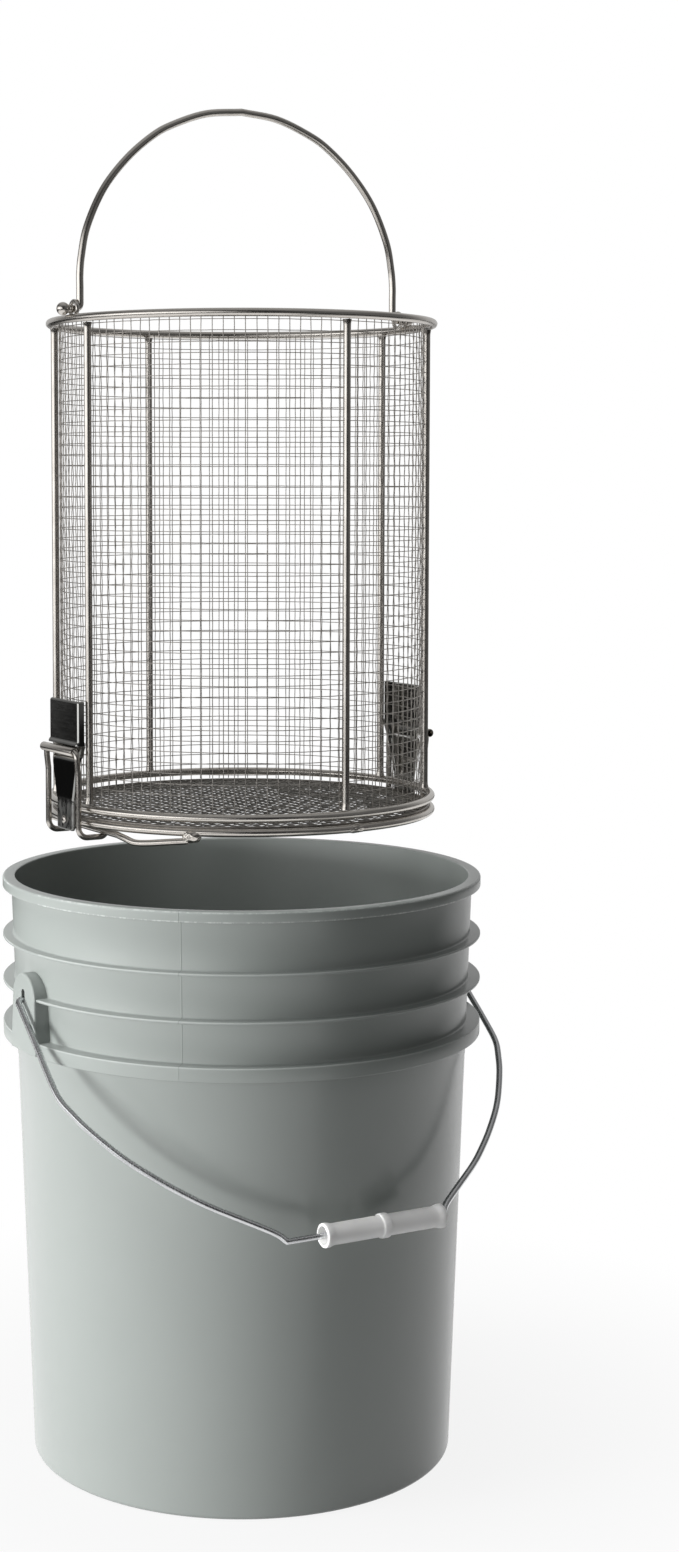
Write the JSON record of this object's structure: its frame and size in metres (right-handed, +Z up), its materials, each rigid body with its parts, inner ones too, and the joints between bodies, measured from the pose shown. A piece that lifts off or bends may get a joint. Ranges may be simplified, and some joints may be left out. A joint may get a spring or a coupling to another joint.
{
  "type": "pail with lift-out drop-bottom wire basket",
  "caption": "Grey plastic pail with a wire bail, and a round stainless mesh basket that lifts out of it and opens at the bottom when its side latches swing out.",
  "frame": {"origin": "centre of the pail's flat base, on the surface that the pail stands on", "axes": "+Z up along the pail's axis; X through the pail's two ears, the basket's bail eyes and its two latches; the bail hangs towards -Y"},
  "size_m": [0.317, 0.3111, 0.8472],
  "materials": {
    "pail_plastic": "satin",
    "grip_plastic": "satin",
    "galvanised_wire": "satin",
    "stainless_wire": "satin",
    "stainless_mesh": "satin",
    "stainless_sheet": "satin"
  },
  "bodies": {
    "bucket": {"bucket": "pail_plastic"},
    "bucket_bail": {"bucket_bail": "galvanised_wire"},
    "bail_grip": {"bail_grip": "grip_plastic"},
    "basket": {"top_ring": "stainless_wire", "body_ring": "stainless_wire", "upright_rod_1": "stainless_wire", "upright_rod_2": "stainless_wire", "upright_rod_3": "stainless_wire", "upright_rod_4": "stainless_wire", "upright_rod_5": "stainless_wire", "upright_rod_6": "stainless_wire", "drum_mesh": "stainless_mesh", "bail_eye_front": "stainless_wire", "bail_eye_back": "stainless_wire", "catch_plate_front": "stainless_sheet", "catch_plate_back": "stainless_sheet", "plate_rivet_front": "stainless_wire", "plate_rivet_back": "stainless_wire"},
    "basket_bail": {"basket_bail": "stainless_wire", "bail_ball_front": "stainless_wire", "bail_ball_back": "stainless_wire"},
    "bottom_door": {"door_ring": "stainless_wire", "door_mesh": "stainless_mesh", "hinge_rod_front": "stainless_wire", "hinge_rod_back": "stainless_wire"},
    "latch_front": {"latch_loop_front": "stainless_wire", "latch_bar_front": "stainless_wire"},
    "latch_back": {"latch_loop_back": "stainless_wire", "latch_bar_back": "stainless_wire"}
  },
  "joints": [
    {"name": "bucket_bail_swing", "type": "hinge", "parent": "bucket", "child": "bucket_bail", "pos_m": [0, 0, 0.302], "axis": [-1, 0, 0], "range_deg": [0, 85]},
    {"name": "bail_grip_spin", "type": "hinge", "parent": "bucket_bail", "child": "bail_grip", "pos_m": [0, -0.15222, 0.17773], "axis": [1, 0, 0], "continuous": true},
    {"name": "basket_lift", "type": "slide", "parent": "bucket", "child": "basket", "axis": [0, 0, 1], "range_m": [-0.394, 0]},
    {"name": "basket_bail_swing", "type": "hinge", "parent": "basket", "child": "basket_bail", "pos_m": [0, 0, 0.72], "axis": [1, 0, 0], "range_deg": [-90, 90]},
    {"name": "bottom_door_drop", "type": "slide", "parent": "basket", "child": "bottom_door", "axis": [0, 0, -1], "range_m": [0, 0.014]},
    {"name": "latch_front_swing", "type": "hinge", "parent": "bottom_door", "child": "latch_front", "pos_m": [-0.11, 0, 0.4057], "axis": [0, -1, 0], "range_deg": [0, 90.1]},
    {"name": "latch_back_swing", "type": "hinge", "parent": "bottom_door", "child": "latch_back", "pos_m": [0.11, 0, 0.4057], "axis": [0, 1, 0], "range_deg": [0, 90.1]}
  ],
  "couplings": [
    {"joint": "latch_front_swing", "follows": "bottom_door_drop", "rad_per_m": 112.2},
    {"joint": "latch_back_swing", "follows": "bottom_door_drop", "rad_per_m": 112.2}
  ]
}
